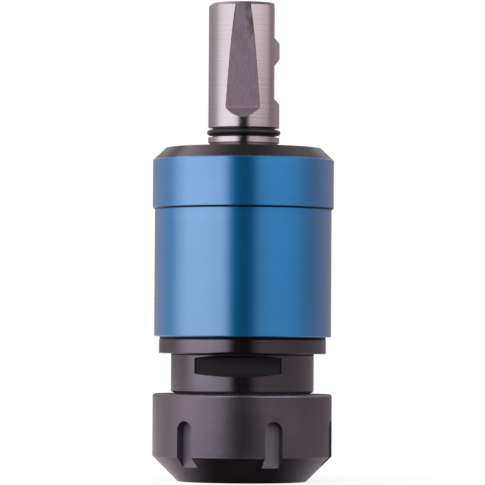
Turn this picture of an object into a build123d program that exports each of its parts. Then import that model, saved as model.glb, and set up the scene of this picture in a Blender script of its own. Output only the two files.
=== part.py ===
from build123d import *
from math import cos, radians, sin, tan
import os

os.makedirs("parts", exist_ok=True)

# Tapping head: a plain clamping shank carries a ball driven spindle on a slotted spring.
# The axis is Z, the clamping nut's front face is at Z = 0 and the shank points up.
# The whistle notch faces the front, which is -Y. All sizes are in millimetres.

# Clearances
running_gap = 0.03  # a journal in its bush
seat_gap = 0.04  # a piece pressed or clamped into its seat
sliding_gap = 0.05  # balls in grooves and tapers in their cones
face_gap = 0.1  # flat faces that bear on each other
part_gap = 0.3  # faces that pass each other
cut_over = 1.0  # how far a cut runs out past the surface

# Shank
shank_diameter = 25.0
shank_length = 49.1
shank_chamfer = 1.0
coolant_diameter = 8.0
coolant_chamfer = 0.6
seam_angle = 215.0  # the turned surface starts on the plain side of the shank

# Ring seal on the shank
shank_seal_section = 1.95
shank_seal_stand = 0.43  # how far it stands proud of the shank
shank_seal_groove_width = 3.5
shank_seal_land = 1.85  # ground land between the groove and the black step

# Two side lock flats on the shank
flat_angle = 0.0
flat_depth = 2.0
flat_length = 12.2
flat_centre_from_end = 27.35
end_flat_length = 12.05

# Sloping notch on the shank
notch_angle = -90.0
notch_slope = 2.0
notch_end_depth = 0.25
notch_length = 37.2
notch_run_out = 25.0  # angle of the run out ramp
notch_corner_radius = 2.5

# Black head of the shank body
step_length = 1.85
step_inset = 0.35
undercut_width = 0.45
undercut_depth = 0.35
head_inset = 0.35  # head rim inside the collar
head_bevel = 4.2
head_height = 4.0
pilot_length = 6.5
hub_diameter = 31.0

# Blue housing: a collar that screws on the pilot, and the long sleeve under it
collar_step = 0.75  # collar outside the sleeve
collar_length = 17.4
collar_wall = 2.1
collar_chamfer = 0.4
sleeve_length = 44.95
sleeve_chamfer = 0.3
sleeve_wall = 3.6
spigot_length = 7.9
spigot_relief_width = 1.0
spigot_relief_depth = 0.4

# Spindle outside
float_gap = 0.8  # open gap between the spindle flange and the sleeve
flange_inset = 1.75  # flange inside the sleeve
flange_length = 5.1
neck_step = 0.1  # neck outside the thread
neck_length = 13.65
neck_chamfer = 0.6
edge_break = 0.25
thread_depth = 0.92
thread_relief_depth = 1.1
thread_relief_length = 2.9
spindle_chamfer = 0.6

# Wrench flats on the neck
wrench_angle = -92.1
wrench_depth = 5.1
wrench_floor = 5.4
wrench_floor_from_flange = 1.5
wrench_wall_slope = 13.0

# Clamping nut
nut_wall = 6.5
nut_length = 30.7
nut_gap = 0.4  # open gap between the nut and the neck
nut_face_chamfer = 8.9
nut_top_radius = 0.9
nut_lip = 1.2
nut_lip_overlap = 1.7  # how far the lip holds the disc
slot_count = 6
slot_width = 6.4
slot_depth = 3.6
slot_top = 21.5
slot_angle = -67.3

# Coolant disc behind the nut's front lip
disc_step = 3.0  # disc inside the collet
disc_thickness = 5.4
disc_outer_seal_section = 1.5
disc_inner_seal_section = 1.8
seal_side_gap = 0.2

# Collet
collet_diameter = 41.0
collet_length = 46.0
collet_taper = 8.0
collet_front_taper = 30.0
collet_front_length = 4.0
collet_front_step = 1.0  # front cone inside the long taper
collet_groove_depth = 2.5
collet_groove_width = 2.5
tap_shank_diameter = 12.0
collet_bore_chamfer = 0.5
slit_count = 8
slit_width = 1.0
slit_end_land = 7.0
collet_seam_angle = 3.75  # its turned surface starts on a land beside a slit
nose_wall = 4.5  # spindle nose outside the collet, up to the thread's crest

# Thrust ring that pushes and pulls the collet, and the wire that keeps it in the nut
thrust_ring_wall = 3.9  # ring outside the collet
thrust_ring_lip_gap = 0.7  # lip clear of the groove's floor
thrust_ring_length = 5.7
wire_section = 1.2

# Ball drive between hub and spindle
ball_diameter = 7.0
ball_count = 6
ball_height = 10.0  # above the socket's floor
ball_sink = 1.0  # ball centres outside the hub
cage_wall = 1.4
cage_rim = 2.5  # cage beyond the balls at each end
socket_depth = 20.0
spindle_wall = 7.5  # round the ball socket
hub_end_gap = 2.0

# Coolant tube
tube_diameter = 10.0
tube_wall = 2.0
tube_length = 21.5
tube_end_gap = 0.5
tube_seal_section = 1.8
bulkhead = 6.0  # wall between the collet's cone and the ball socket
collet_rear_gap = 1.0

# Slotted spring, all in one piece
spring_gap = 0.5
spring_wall = 2.6
spring_foot = 3.0
spring_head = 3.0
spring_slot = 1.2
spring_land = 2.2
spring_bridges = 3
spring_bridge_width = 5.0

# Screws that hold the spring on the spindle
screw_count = 6
screw_diameter = 3.0
screw_head_diameter = 5.5
screw_head_length = 3.0
screw_grip = 6.0  # thread in the spindle
screw_hole_gap = 0.2
hex_across = 2.5
hex_depth = 1.6

# Snap ring that stops the spindle from coming out
stop_ring_width = 1.5
stop_ring_inset = 1.5  # groove depth in the journal
stop_ring_mouth = 9.0
stop_ring_from_top = 7.8
stop_ring_play = 0.7

# Dust ring, wiper and bush in the sleeve
dust_ring_inset = 0.15  # dust ring inside the flange
dust_ring_width = 1.4
dust_ring_height = 1.6
mouth_depth = 1.7
wiper_width = 2.0
wiper_lip = 0.8
bush_gap = 0.3
bush_wall = 2.5
bush_chamfer = 0.5

# Heights along the axis, counted up from the nut's face
disc_bottom = nut_lip + face_gap
disc_top = disc_bottom + disc_thickness
collet_front = disc_top + part_gap
collet_shoulder = collet_front + collet_front_length
collet_wide = collet_shoulder + collet_groove_width
collet_rear = collet_front + collet_length
ring_seat = collet_front + 2 * part_gap - face_gap
ring_bottom = ring_seat + face_gap
ring_top = ring_bottom + thrust_ring_length
wire_bottom = ring_top + part_gap
nose = wire_bottom + wire_section + part_gap
nut_top = nut_length
neck_bottom = nut_top + nut_gap
flange_bottom = neck_bottom + neck_length
flange_top = flange_bottom + flange_length
sleeve_bottom = flange_top + float_gap
collar_bottom = sleeve_bottom + sleeve_length
head_bottom = collar_bottom + collar_length
head_top = head_bottom + head_height
shank_base = head_top + step_length
shank_top = shank_base + shank_length
seal_groove_bottom = shank_base + shank_seal_land
seal_groove_top = seal_groove_bottom + shank_seal_groove_width
pilot_bottom = head_bottom - pilot_length
spigot_top = collar_bottom + spigot_length
bulkhead_bottom = collet_rear + collet_rear_gap
socket_floor = bulkhead_bottom + bulkhead
spindle_top = socket_floor + socket_depth
hub_end = socket_floor + hub_end_gap
tube_bottom = bulkhead_bottom + tube_end_gap
tube_top = tube_bottom + tube_length
stop_ring_top = spindle_top - stop_ring_from_top
stop_ring_bottom = stop_ring_top - stop_ring_width
mouth_top = sleeve_bottom + mouth_depth
wiper_bottom = mouth_top + face_gap
wiper_top = wiper_bottom + wiper_width
bush_bottom = wiper_top + bush_gap
bush_top = stop_ring_bottom - stop_ring_play
foot_top = spindle_top + spring_foot
spring_top = pilot_bottom
spring_head_bottom = spring_top - spring_head

# Radii that several pieces share
shank_radius = shank_diameter / 2
hub_radius = hub_diameter / 2
ball_radius = ball_diameter / 2
ball_circle = hub_radius + ball_sink
groove_radius = ball_radius + sliding_gap
socket_radius = ball_circle + ball_sink
journal_radius = socket_radius + spindle_wall
bore_radius = journal_radius + bush_wall
sleeve_radius = bore_radius + sleeve_wall
collar_radius = sleeve_radius + collar_step
head_radius = collar_radius - head_inset
pilot_radius = collar_radius - collar_wall
tube_radius = tube_diameter / 2
thread_radius = collet_diameter / 2 + nose_wall
thread_root = thread_radius - thread_depth
neck_radius = thread_radius + neck_step
flange_radius = sleeve_radius - flange_inset
nut_radius = thread_radius + nut_wall
dust_ring_radius = flange_radius - dust_ring_inset
mouth_radius = dust_ring_radius + part_gap
spring_bore = hub_radius + spring_gap
spring_body = spring_bore + spring_wall
foot_radius = journal_radius - edge_break
screw_circle = (spring_body + foot_radius) / 2
tap_radius = tap_shank_diameter / 2
collet_slope = tan(radians(collet_taper))
collet_front_radius = collet_diameter / 2 - collet_front_step
collet_nose_radius = collet_front_radius - collet_front_length * tan(radians(collet_front_taper))
collet_groove_radius = collet_diameter / 2 - collet_groove_depth
ring_radius = collet_diameter / 2 + thrust_ring_wall
disc_radius = collet_diameter / 2 - disc_step
shank_seal_outer = shank_radius + shank_seal_stand


def collet_radius(height):
    """Radius of the collet's long taper at a height."""
    return collet_diameter / 2 - (height - collet_wide) * collet_slope


def cone_radius(height):
    """Radius of the spindle's cone at a height, a sliding gap outside the collet."""
    return collet_radius(height) + sliding_gap


def side_plane(angle):
    """The plane through the axis at this angle: local X is the radius and local Y is height."""
    out = radians(angle)
    return Plane(origin=(0, 0, 0), x_dir=(cos(out), sin(out), 0), z_dir=(sin(out), -cos(out), 0))


def facing_plane(angle, radius=0.0, height=0.0):
    """The upright plane square to the radius at this angle: local Y is height, local Z points out."""
    out = radians(angle)
    place = (radius * cos(out), radius * sin(out), height)
    return Plane(origin=place, x_dir=(-sin(out), cos(out), 0), z_dir=(cos(out), sin(out), 0))


# Shank body: shank, black head, pilot and grooved hub in one piece
undercut_radius = shank_radius - step_inset - undercut_depth
step_radius = shank_radius - step_inset
seal_floor = shank_seal_outer - shank_seal_section - sliding_gap
coolant_radius = coolant_diameter / 2
tube_socket = tube_radius + seat_gap
flat_reach = 2 * flat_depth
notch_rise = tan(radians(notch_slope))
notch_heel_depth = notch_end_depth + notch_length * notch_rise
notch_drop = (notch_heel_depth + cut_over) / tan(radians(notch_run_out))
with BuildPart() as shank_body:
    with BuildSketch(side_plane(seam_angle)):
        with BuildLine():
            Polyline(
                (coolant_radius, shank_top - coolant_chamfer),
                (coolant_radius + coolant_chamfer, shank_top),
                (shank_radius - shank_chamfer, shank_top),
                (shank_radius, shank_top - shank_chamfer),
                (shank_radius, seal_groove_top),
                (seal_floor, seal_groove_top),
                (seal_floor, seal_groove_bottom),
                (shank_radius, seal_groove_bottom),
                (shank_radius, shank_base),
                (undercut_radius, shank_base),
                (undercut_radius, shank_base - undercut_width),
                (step_radius, shank_base - undercut_width),
                (step_radius, head_top),
                (head_radius - head_bevel, head_top),
                (head_radius, head_bottom),
                (pilot_radius, head_bottom),
                (pilot_radius, pilot_bottom),
                (hub_radius, pilot_bottom),
                (hub_radius, hub_end + edge_break),
                (hub_radius - edge_break, hub_end),
                (tube_socket, hub_end),
                (tube_socket, tube_top),
                (coolant_radius, tube_top),
                close=True,
            )
        make_face()
    revolve(axis=Axis.Z)
    # Side lock flats with 45 degree ramps, the upper one open at the shank's end
    flat_floor = shank_radius - flat_depth
    end_flat_bottom = shank_top - end_flat_length
    lock_bottom = shank_top - flat_centre_from_end - flat_length / 2
    lock_top = lock_bottom + flat_length
    with BuildSketch(side_plane(flat_angle)):
        with BuildLine():
            Polyline(
                (flat_floor, shank_top + cut_over),
                (flat_floor, end_flat_bottom),
                (flat_floor + flat_reach, end_flat_bottom - flat_reach),
                (flat_floor + flat_reach, shank_top + cut_over),
                close=True,
            )
        make_face()
        with BuildLine():
            Polyline(
                (flat_floor, lock_bottom),
                (flat_floor, lock_top),
                (flat_floor + flat_reach, lock_top + flat_reach),
                (flat_floor + flat_reach, lock_bottom - flat_reach),
                close=True,
            )
        make_face()
    extrude(amount=shank_radius, both=True, mode=Mode.SUBTRACT)
    # Sloping notch, deepest at its heel, with a curved run out
    heel = shank_top - notch_length
    with BuildSketch(side_plane(notch_angle)):
        with BuildLine():
            FilletPolyline(
                (shank_radius + cut_over, shank_top + cut_over),
                (shank_radius - notch_end_depth + cut_over * notch_rise, shank_top + cut_over),
                (shank_radius - notch_heel_depth, heel),
                (shank_radius + cut_over, heel - notch_drop),
                radius=(0, 0, notch_corner_radius, 0),
                close=True,
            )
        make_face()
    extrude(amount=shank_radius, both=True, mode=Mode.SUBTRACT)
    # Ball grooves, open at the hub's end
    with BuildSketch(Plane.XY.offset(hub_end)):
        with PolarLocations(ball_circle, ball_count):
            Circle(groove_radius)
    extrude(amount=spindle_top - hub_end, mode=Mode.SUBTRACT)
shank_body.part.label = "shank_body"
export_step(shank_body.part, "parts/shank_body.step")

# Ring seal in the shank's groove
seal_groove_middle = (seal_groove_bottom + seal_groove_top) / 2
with BuildPart() as shank_seal:
    with BuildSketch(side_plane(seam_angle)):
        with Locations((shank_seal_outer - shank_seal_section / 2, seal_groove_middle)):
            Circle(shank_seal_section / 2)
    revolve(axis=Axis.Z)
shank_seal.part.label = "shank_seal"
export_step(shank_seal.part, "parts/shank_seal.step")

# Collar ring: screws on the pilot and on the sleeve's spigot
collar_bore = pilot_radius + seat_gap
with BuildPart() as collar_ring:
    with BuildSketch(side_plane(0)):
        with BuildLine():
            Polyline(
                (collar_bore + edge_break, collar_bottom),
                (collar_radius - collar_chamfer, collar_bottom),
                (collar_radius, collar_bottom + collar_chamfer),
                (collar_radius, head_bottom - collar_chamfer),
                (collar_radius - collar_chamfer, head_bottom),
                (collar_bore + edge_break, head_bottom),
                (collar_bore, head_bottom - edge_break),
                (collar_bore, collar_bottom + edge_break),
                close=True,
            )
        make_face()
    revolve(axis=Axis.Z)
collar_ring.part.label = "collar_ring"
export_step(collar_ring.part, "parts/collar_ring.step")

# Housing sleeve with a relieved spigot for the collar and a wide mouth for the dust ring
with BuildPart() as housing_sleeve:
    with BuildSketch(side_plane(0)):
        with BuildLine():
            Polyline(
                (mouth_radius + sleeve_chamfer, sleeve_bottom),
                (sleeve_radius - sleeve_chamfer, sleeve_bottom),
                (sleeve_radius, sleeve_bottom + sleeve_chamfer),
                (sleeve_radius, collar_bottom),
                (pilot_radius - spigot_relief_depth, collar_bottom),
                (pilot_radius - spigot_relief_depth, collar_bottom + spigot_relief_width),
                (pilot_radius, collar_bottom + spigot_relief_width + spigot_relief_depth),
                (pilot_radius, spigot_top),
                (bore_radius, spigot_top),
                (bore_radius, mouth_top),
                (mouth_radius, mouth_top),
                (mouth_radius, sleeve_bottom + sleeve_chamfer),
                close=True,
            )
        make_face()
    revolve(axis=Axis.Z)
housing_sleeve.part.label = "housing_sleeve"
export_step(housing_sleeve.part, "parts/housing_sleeve.step")

# Wiper at the sleeve's mouth, with a lip that touches the journal
wiper_outer = bore_radius - seat_gap
wiper_inner = journal_radius + running_gap
with BuildPart() as wiper_seal:
    with BuildSketch(side_plane(0)):
        with BuildLine():
            Polyline(
                (wiper_inner, wiper_bottom),
                (wiper_inner + wiper_lip / 2, wiper_bottom),
                (wiper_inner + wiper_lip, wiper_bottom + wiper_lip),
                (wiper_outer, wiper_bottom + wiper_lip / 2),
                (wiper_outer, wiper_top),
                (wiper_inner + wiper_lip / 2, wiper_top),
                (wiper_inner + wiper_lip / 2, wiper_bottom + wiper_lip),
                close=True,
            )
        make_face()
    revolve(axis=Axis.Z)
wiper_seal.part.label = "wiper_seal"
export_step(wiper_seal.part, "parts/wiper_seal.step")

# Guide bush pressed in the sleeve
with BuildPart() as guide_bush:
    with BuildSketch(Plane.XY.offset(bush_bottom)):
        Circle(bore_radius - seat_gap)
        Circle(journal_radius + running_gap, mode=Mode.SUBTRACT)
    extrude(amount=bush_top - bush_bottom)
    chamfer(guide_bush.edges().filter_by(GeomType.CIRCLE).group_by(SortBy.RADIUS)[0], bush_chamfer)
guide_bush.part.label = "guide_bush"
export_step(guide_bush.part, "parts/guide_bush.step")

# Slotted spring: foot, slotted body and clamped head in one piece
spring_body_length = spring_head_bottom - foot_top
spring_pitch = spring_slot + spring_land
slot_layers = int((spring_body_length - spring_land) / spring_pitch)
first_slot = foot_top + (spring_body_length - slot_layers * spring_pitch + spring_land) / 2
with BuildPart() as slotted_spring:
    with BuildSketch(side_plane(0)):
        with BuildLine():
            Polyline(
                (spring_bore, spindle_top),
                (foot_radius, spindle_top),
                (foot_radius, foot_top),
                (spring_body, foot_top),
                (spring_body, spring_head_bottom),
                (pilot_radius, spring_head_bottom),
                (pilot_radius, spring_top),
                (spring_bore, spring_top),
                close=True,
            )
        make_face()
    revolve(axis=Axis.Z)
    for layer in range(slot_layers):
        first_bridge = (layer % 2) * 180 / spring_bridges
        with BuildSketch(Plane.XY.offset(first_slot + layer * spring_pitch)):
            Circle(spring_body + spring_wall)
            Circle(spring_bore - spring_gap / 2, mode=Mode.SUBTRACT)
            with PolarLocations(spring_bore + spring_wall, spring_bridges, start_angle=first_bridge):
                Rectangle(3 * spring_wall, spring_bridge_width, mode=Mode.SUBTRACT)
        extrude(amount=spring_slot, mode=Mode.SUBTRACT)
    with BuildSketch(Plane.XY.offset(spindle_top)):
        with PolarLocations(screw_circle, screw_count, start_angle=180 / screw_count):
            Circle(screw_diameter / 2 + screw_hole_gap)
    extrude(amount=spring_foot, mode=Mode.SUBTRACT)
slotted_spring.part.label = "slotted_spring"
export_step(slotted_spring.part, "parts/slotted_spring.step")

# Socket screws through the spring's foot
with BuildPart() as spring_screws:
    with BuildSketch(Plane.XY.offset(foot_top)):
        with PolarLocations(screw_circle, screw_count, start_angle=180 / screw_count):
            Circle(screw_head_diameter / 2)
    extrude(amount=screw_head_length)
    with BuildSketch(Plane.XY.offset(foot_top)):
        with PolarLocations(screw_circle, screw_count, start_angle=180 / screw_count):
            Circle(screw_diameter / 2)
    extrude(amount=-(spring_foot + screw_grip))
    with BuildSketch(Plane.XY.offset(foot_top + screw_head_length)):
        with PolarLocations(screw_circle, screw_count, start_angle=180 / screw_count):
            RegularPolygon(hex_across / 2, 6, major_radius=False)
    extrude(amount=-hex_depth, mode=Mode.SUBTRACT)
spring_screws.part.label = "spring_screws"
export_step(spring_screws.part, "parts/spring_screws.step")

# Drive balls in the grooves of hub and spindle
ball_level = socket_floor + ball_height
cage_half = ball_radius + cage_rim
with BuildPart() as drive_balls:
    with Locations((0, 0, ball_level)):
        with PolarLocations(ball_circle, ball_count):
            Sphere(ball_radius)
drive_balls.part.label = "drive_balls"
export_step(drive_balls.part, "parts/drive_balls.step")

# Cage that keeps the balls apart
with BuildPart() as ball_cage:
    with BuildSketch(Plane.XY.offset(ball_level - cage_half)):
        Circle(ball_circle + cage_wall / 2)
        Circle(ball_circle - cage_wall / 2, mode=Mode.SUBTRACT)
    extrude(amount=2 * cage_half)
    for ball in range(ball_count):
        with BuildSketch(facing_plane(ball * 360 / ball_count, height=ball_level)):
            Circle(ball_radius + sliding_gap)
        extrude(amount=ball_circle + ball_radius, mode=Mode.SUBTRACT)
ball_cage.part.label = "ball_cage"
export_step(ball_cage.part, "parts/ball_cage.step")

# Coolant tube from the hub into the spindle's bulkhead
with BuildPart() as coolant_tube:
    with BuildSketch(Plane.XY.offset(tube_bottom)):
        Circle(tube_radius)
        Circle(tube_radius - tube_wall, mode=Mode.SUBTRACT)
    extrude(amount=tube_length)
    chamfer(coolant_tube.edges().group_by(Axis.Z)[0].sort_by(SortBy.RADIUS)[-1], edge_break)
coolant_tube.part.label = "coolant_tube"
export_step(coolant_tube.part, "parts/coolant_tube.step")

# Spindle: collet nose, neck with wrench flats, flange, journal and ball socket
tube_bore = tube_radius + sliding_gap
tube_seal_centre = bulkhead_bottom + bulkhead / 2
tube_seal_floor = tube_bore + tube_seal_section + sliding_gap
tube_seal_half = tube_seal_section / 2 + seal_side_gap
stop_floor = journal_radius - stop_ring_inset
stop_groove_top = stop_ring_top + face_gap / 2
stop_groove_bottom = stop_ring_bottom - face_gap / 2
relief_bottom = neck_bottom - thread_relief_length
relief_radius = thread_radius - thread_relief_depth
with BuildPart() as collet_spindle:
    with BuildSketch(side_plane(0)):
        with BuildLine():
            Polyline(
                (cone_radius(nose) + edge_break, nose),
                (thread_root - spindle_chamfer, nose),
                (thread_root, nose + spindle_chamfer),
                (thread_root, relief_bottom),
                (relief_radius, relief_bottom + edge_break),
                (relief_radius, neck_bottom),
                (neck_radius - neck_chamfer, neck_bottom),
                (neck_radius, neck_bottom + neck_chamfer),
                (neck_radius, flange_bottom),
                (flange_radius - edge_break, flange_bottom),
                (flange_radius, flange_bottom + edge_break),
                (flange_radius, flange_top - edge_break),
                (flange_radius - edge_break, flange_top),
                (journal_radius, flange_top),
                (journal_radius, stop_groove_bottom),
                (stop_floor, stop_groove_bottom),
                (stop_floor, stop_groove_top),
                (journal_radius, stop_groove_top),
                (journal_radius, spindle_top - spindle_chamfer),
                (journal_radius - spindle_chamfer, spindle_top),
                (socket_radius, spindle_top),
                (socket_radius, socket_floor),
                (tube_bore, socket_floor),
                (tube_bore, tube_seal_centre + tube_seal_half),
                (tube_seal_floor, tube_seal_centre + tube_seal_half),
                (tube_seal_floor, tube_seal_centre - tube_seal_half),
                (tube_bore, tube_seal_centre - tube_seal_half),
                (tube_bore, bulkhead_bottom),
                (cone_radius(bulkhead_bottom), bulkhead_bottom),
                (cone_radius(nose + edge_break), nose + edge_break),
                close=True,
            )
        make_face()
    revolve(axis=Axis.Z)
    # Two wrench flats with sloping side walls
    floor_top = flange_bottom - wrench_floor_from_flange
    floor_bottom = floor_top - wrench_floor
    wrench_plane = neck_radius - wrench_depth
    wrench_reach = 2 * wrench_depth
    wall_rise = wrench_reach * tan(radians(wrench_wall_slope))
    for side in (wrench_angle, wrench_angle + 180):
        with BuildSketch(side_plane(side)):
            with BuildLine():
                Polyline(
                    (wrench_plane, floor_bottom),
                    (wrench_plane, floor_top),
                    (wrench_plane + wrench_reach, floor_top + wall_rise),
                    (wrench_plane + wrench_reach, floor_bottom - wall_rise),
                    close=True,
                )
            make_face()
        extrude(amount=neck_radius, both=True, mode=Mode.SUBTRACT)
    # Ball grooves in the socket
    with BuildSketch(Plane.XY.offset(socket_floor)):
        with PolarLocations(ball_circle, ball_count):
            Circle(groove_radius)
    extrude(amount=socket_depth, mode=Mode.SUBTRACT)
    # Screw holes for the spring's foot
    with BuildSketch(Plane.XY.offset(spindle_top)):
        with PolarLocations(screw_circle, screw_count, start_angle=180 / screw_count):
            Circle(screw_diameter / 2 + sliding_gap)
    extrude(amount=-(screw_grip + part_gap), mode=Mode.SUBTRACT)
collet_spindle.part.label = "collet_spindle"
export_step(collet_spindle.part, "parts/collet_spindle.step")

# Dust ring seated on the flange, which runs in the sleeve's mouth
with BuildPart() as dust_ring:
    with BuildSketch(Plane.XY.offset(flange_top)):
        Circle(dust_ring_radius)
        Circle(dust_ring_radius - dust_ring_width, mode=Mode.SUBTRACT)
    extrude(amount=dust_ring_height)
    chamfer(dust_ring.edges().group_by(Axis.Z)[-1], edge_break)
dust_ring.part.label = "dust_ring"
export_step(dust_ring.part, "parts/dust_ring.step")

# Ring seal round the coolant tube, pressed square in its groove
with BuildPart() as tube_seal:
    with BuildSketch(side_plane(0)):
        with Locations((tube_bore + tube_seal_section / 2, tube_seal_centre)):
            Rectangle(tube_seal_section, tube_seal_section)
    revolve(axis=Axis.Z)
tube_seal.part.label = "tube_seal"
export_step(tube_seal.part, "parts/tube_seal.step")

# Snap ring on the journal, with an open mouth
with BuildPart() as stop_ring:
    with BuildSketch(Plane.XY.offset(stop_ring_bottom)):
        Circle(bore_radius - part_gap)
        Circle(stop_floor + sliding_gap, mode=Mode.SUBTRACT)
        with Locations((journal_radius, 0)):
            Rectangle(journal_radius, stop_ring_mouth, mode=Mode.SUBTRACT)
    extrude(amount=stop_ring_width)
stop_ring.part.label = "stop_ring"
export_step(stop_ring.part, "parts/stop_ring.step")

# Collet, slit from both ends in turn
with BuildPart() as collet:
    with BuildSketch(side_plane(collet_seam_angle)):
        with BuildLine():
            Polyline(
                (tap_radius + collet_bore_chamfer, collet_front),
                (collet_nose_radius, collet_front),
                (collet_front_radius, collet_shoulder),
                (collet_groove_radius, collet_shoulder),
                (collet_groove_radius, collet_wide),
                (collet_diameter / 2, collet_wide),
                (collet_radius(collet_rear - edge_break), collet_rear - edge_break),
                (collet_radius(collet_rear) - edge_break, collet_rear),
                (tap_radius + collet_bore_chamfer, collet_rear),
                (tap_radius, collet_rear - collet_bore_chamfer),
                (tap_radius, collet_front + collet_bore_chamfer),
                close=True,
            )
        make_face()
    revolve(axis=Axis.Z)
    slit_reach = collet_diameter / 2
    slit_step = 360 / slit_count
    with BuildSketch(Plane.XY.offset(collet_front)):
        with PolarLocations(tap_radius + slit_reach / 2, slit_count, start_angle=slit_step / 4):
            Rectangle(slit_reach, slit_width)
    extrude(amount=collet_length - slit_end_land, mode=Mode.SUBTRACT)
    rear_slit = collet_rear - collet_wide - slit_end_land
    with BuildSketch(Plane.XY.offset(collet_rear)):
        with PolarLocations(tap_radius + slit_reach / 2, slit_count, start_angle=3 * slit_step / 4):
            Rectangle(slit_reach, slit_width)
    extrude(amount=-rear_slit, mode=Mode.SUBTRACT)
collet.part.label = "collet"
export_step(collet.part, "parts/collet.step")

# Thrust ring: a cone against the collet's front, and a lip in its groove
cone_gap = sliding_gap / cos(radians(collet_front_taper))
ring_cone_rise = (collet_shoulder - ring_bottom) * tan(radians(collet_front_taper))
ring_cone_end = collet_front_radius + cone_gap
ring_cone_start = ring_cone_end - ring_cone_rise
with BuildPart() as thrust_ring:
    with BuildSketch(side_plane(0)):
        with BuildLine():
            Polyline(
                (ring_cone_start, ring_bottom),
                (ring_radius, ring_bottom),
                (ring_radius, ring_top),
                (collet_groove_radius + thrust_ring_lip_gap, ring_top),
                (collet_groove_radius + thrust_ring_lip_gap, collet_shoulder + part_gap),
                (ring_cone_end, collet_shoulder + part_gap),
                (ring_cone_end, collet_shoulder),
                close=True,
            )
        make_face()
    revolve(axis=Axis.Z)
thrust_ring.part.label = "thrust_ring"
export_step(thrust_ring.part, "parts/thrust_ring.step")

# Clamping nut with six spanner slots
disc_bore = disc_radius + sliding_gap
lip_radius = disc_radius - nut_lip_overlap
ring_bore = ring_radius + sliding_gap
wire_centre_radius = ring_bore + wire_section / 4
wire_groove = wire_centre_radius + wire_section / 2 + sliding_gap
nut_bore = thread_radius + sliding_gap
with BuildPart() as clamping_nut:
    with BuildSketch(side_plane(0)):
        with BuildLine():
            Polyline(
                (lip_radius + edge_break, 0),
                (nut_radius - nut_face_chamfer, 0),
                (nut_radius, nut_face_chamfer),
                (nut_radius, nut_top),
                (nut_bore + edge_break, nut_top),
                (nut_bore, nut_top - edge_break),
                (nut_bore, nose),
                (ring_bore, nose),
                (ring_bore, wire_bottom + wire_section + face_gap),
                (wire_groove, wire_bottom + wire_section + face_gap),
                (wire_groove, wire_bottom - face_gap),
                (ring_bore, wire_bottom - face_gap),
                (ring_bore, ring_seat),
                (disc_bore, ring_seat),
                (disc_bore, nut_lip),
                (lip_radius, nut_lip),
                (lip_radius, edge_break),
                close=True,
            )
        make_face()
    revolve(axis=Axis.Z)
    top_edges = clamping_nut.edges().filter_by(GeomType.CIRCLE).group_by(Axis.Z)[-1]
    fillet(top_edges.sort_by(SortBy.RADIUS)[-1], nut_top_radius)
    # Spanner slots, open at the front and round at the top
    for slot in range(slot_count):
        with BuildSketch(facing_plane(slot_angle + slot * 360 / slot_count, nut_radius - slot_depth)):
            with Locations((0, slot_top - slot_width / 2)):
                Circle(slot_width / 2)
                Rectangle(slot_width, slot_top, align=(Align.CENTER, Align.MAX))
        extrude(amount=2 * slot_depth, mode=Mode.SUBTRACT)
clamping_nut.part.label = "clamping_nut"
export_step(clamping_nut.part, "parts/clamping_nut.step")

# Wire ring that keeps the thrust ring in the nut
with BuildPart() as retaining_wire:
    with BuildSketch(side_plane(0)):
        with Locations((wire_centre_radius, wire_bottom + wire_section / 2)):
            Rectangle(wire_section, wire_section)
    revolve(axis=Axis.Z, revolution_arc=345)
retaining_wire.part.label = "retaining_wire"
export_step(retaining_wire.part, "parts/retaining_wire.step")

# Coolant disc with a seal round the tap's shank and one in the nut
disc_centre = (disc_bottom + disc_top) / 2
disc_hole = tap_radius + face_gap
inner_seal_floor = tap_radius + sliding_gap + disc_inner_seal_section + sliding_gap
inner_seal_half = disc_inner_seal_section / 2 + seal_side_gap
outer_seal_outer = disc_bore - sliding_gap / 2
outer_seal_floor = outer_seal_outer - disc_outer_seal_section - sliding_gap
outer_seal_half = disc_outer_seal_section / 2 + seal_side_gap
with BuildPart() as sealing_disc:
    with BuildSketch(side_plane(0)):
        with BuildLine():
            Polyline(
                (disc_hole + edge_break, disc_bottom),
                (disc_radius - face_gap, disc_bottom),
                (disc_radius - face_gap, disc_centre - outer_seal_half),
                (outer_seal_floor, disc_centre - outer_seal_half),
                (outer_seal_floor, disc_centre + outer_seal_half),
                (disc_radius - face_gap, disc_centre + outer_seal_half),
                (disc_radius - face_gap, disc_top),
                (disc_hole, disc_top),
                (disc_hole, disc_centre + inner_seal_half),
                (inner_seal_floor, disc_centre + inner_seal_half),
                (inner_seal_floor, disc_centre - inner_seal_half),
                (disc_hole, disc_centre - inner_seal_half),
                (disc_hole, disc_bottom + edge_break),
                close=True,
            )
        make_face()
    revolve(axis=Axis.Z)
sealing_disc.part.label = "sealing_disc"
export_step(sealing_disc.part, "parts/sealing_disc.step")

with BuildPart() as disc_inner_seal:
    with BuildSketch(side_plane(0)):
        with Locations((tap_radius + sliding_gap + disc_inner_seal_section / 2, disc_centre)):
            Rectangle(disc_inner_seal_section, disc_inner_seal_section)
    revolve(axis=Axis.Z)
disc_inner_seal.part.label = "disc_inner_seal"
export_step(disc_inner_seal.part, "parts/disc_inner_seal.step")

with BuildPart() as disc_outer_seal:
    with BuildSketch(side_plane(0)):
        with Locations((outer_seal_outer - disc_outer_seal_section / 2, disc_centre)):
            Rectangle(disc_outer_seal_section, disc_outer_seal_section)
    revolve(axis=Axis.Z)
disc_outer_seal.part.label = "disc_outer_seal"
export_step(disc_outer_seal.part, "parts/disc_outer_seal.step")
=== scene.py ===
"""Tapping head: finishes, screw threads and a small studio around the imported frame."""

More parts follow.
